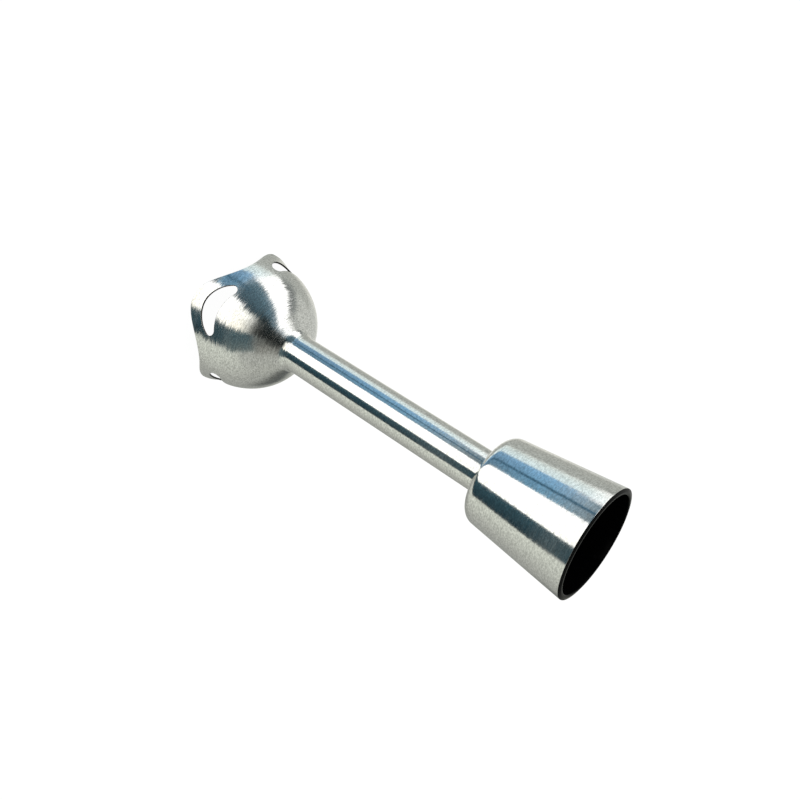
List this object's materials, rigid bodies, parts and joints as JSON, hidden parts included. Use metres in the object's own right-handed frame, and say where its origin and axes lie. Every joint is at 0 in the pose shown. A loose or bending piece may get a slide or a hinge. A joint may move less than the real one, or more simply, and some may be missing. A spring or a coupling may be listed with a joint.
{
  "type": "immersion blender arm",
  "caption": "Detachable steel blending arm: lobed bell-shaped blade guard with crescent slots, slim tube, tapered collar with a black drive socket, and a spinning shaft with a two-wing blade.",
  "frame": {"origin": "on the drive axis, at the level of the four lobes that the blade guard stands on", "axes": "+Z along the drive axis from the blade guard to the collar mouth; one guard lobe on each of -Y, +X, +Y and -X"},
  "size_m": [0.073, 0.073, 0.213],
  "materials": {
    "brushed_steel": "brushed round the axis, semi-bright",
    "turned_steel": "fine turned, bright",
    "blade_steel": "ground, bright edge",
    "black_plastic": "gloss",
    "grey_nylon": "satin moulded",
    "pale_nylon": "satin moulded",
    "rubber": "matt",
    "bronze": "sintered, satin"
  },
  "bodies": {
    "arm": {"blade_guard": "brushed_steel", "shaft_tube": "brushed_steel", "collar_shell": "brushed_steel", "collar_liner": "black_plastic", "liner_o_ring": "rubber", "flange_gasket": "rubber", "tube_flange": "turned_steel", "liner_screw_1": "turned_steel", "liner_screw_2": "turned_steel", "liner_screw_3": "turned_steel", "upper_bearing_housing": "grey_nylon", "upper_housing_o_ring": "rubber", "upper_bushing": "bronze", "shaft_guide": "pale_nylon", "lower_bearing_housing": "grey_nylon", "lower_housing_o_ring": "rubber", "lower_bushing": "bronze", "shaft_lip_seal": "rubber", "seal_retainer": "turned_steel"},
    "drive_train": {"drive_shaft": "turned_steel", "drive_coupling": "grey_nylon", "coupling_cross_pin": "turned_steel", "coupling_circlip": "turned_steel", "upper_thrust_washer": "bronze", "lower_thrust_washer": "pale_nylon", "blade_hub": "turned_steel", "blade": "blade_steel", "blade_nut": "turned_steel"}
  },
  "joints": [
    {"name": "drive_spin", "type": "hinge", "parent": "arm", "child": "drive_train", "pos_m": [0, 0, 0.1], "axis": [0, 0, 1], "continuous": true}
  ]
}
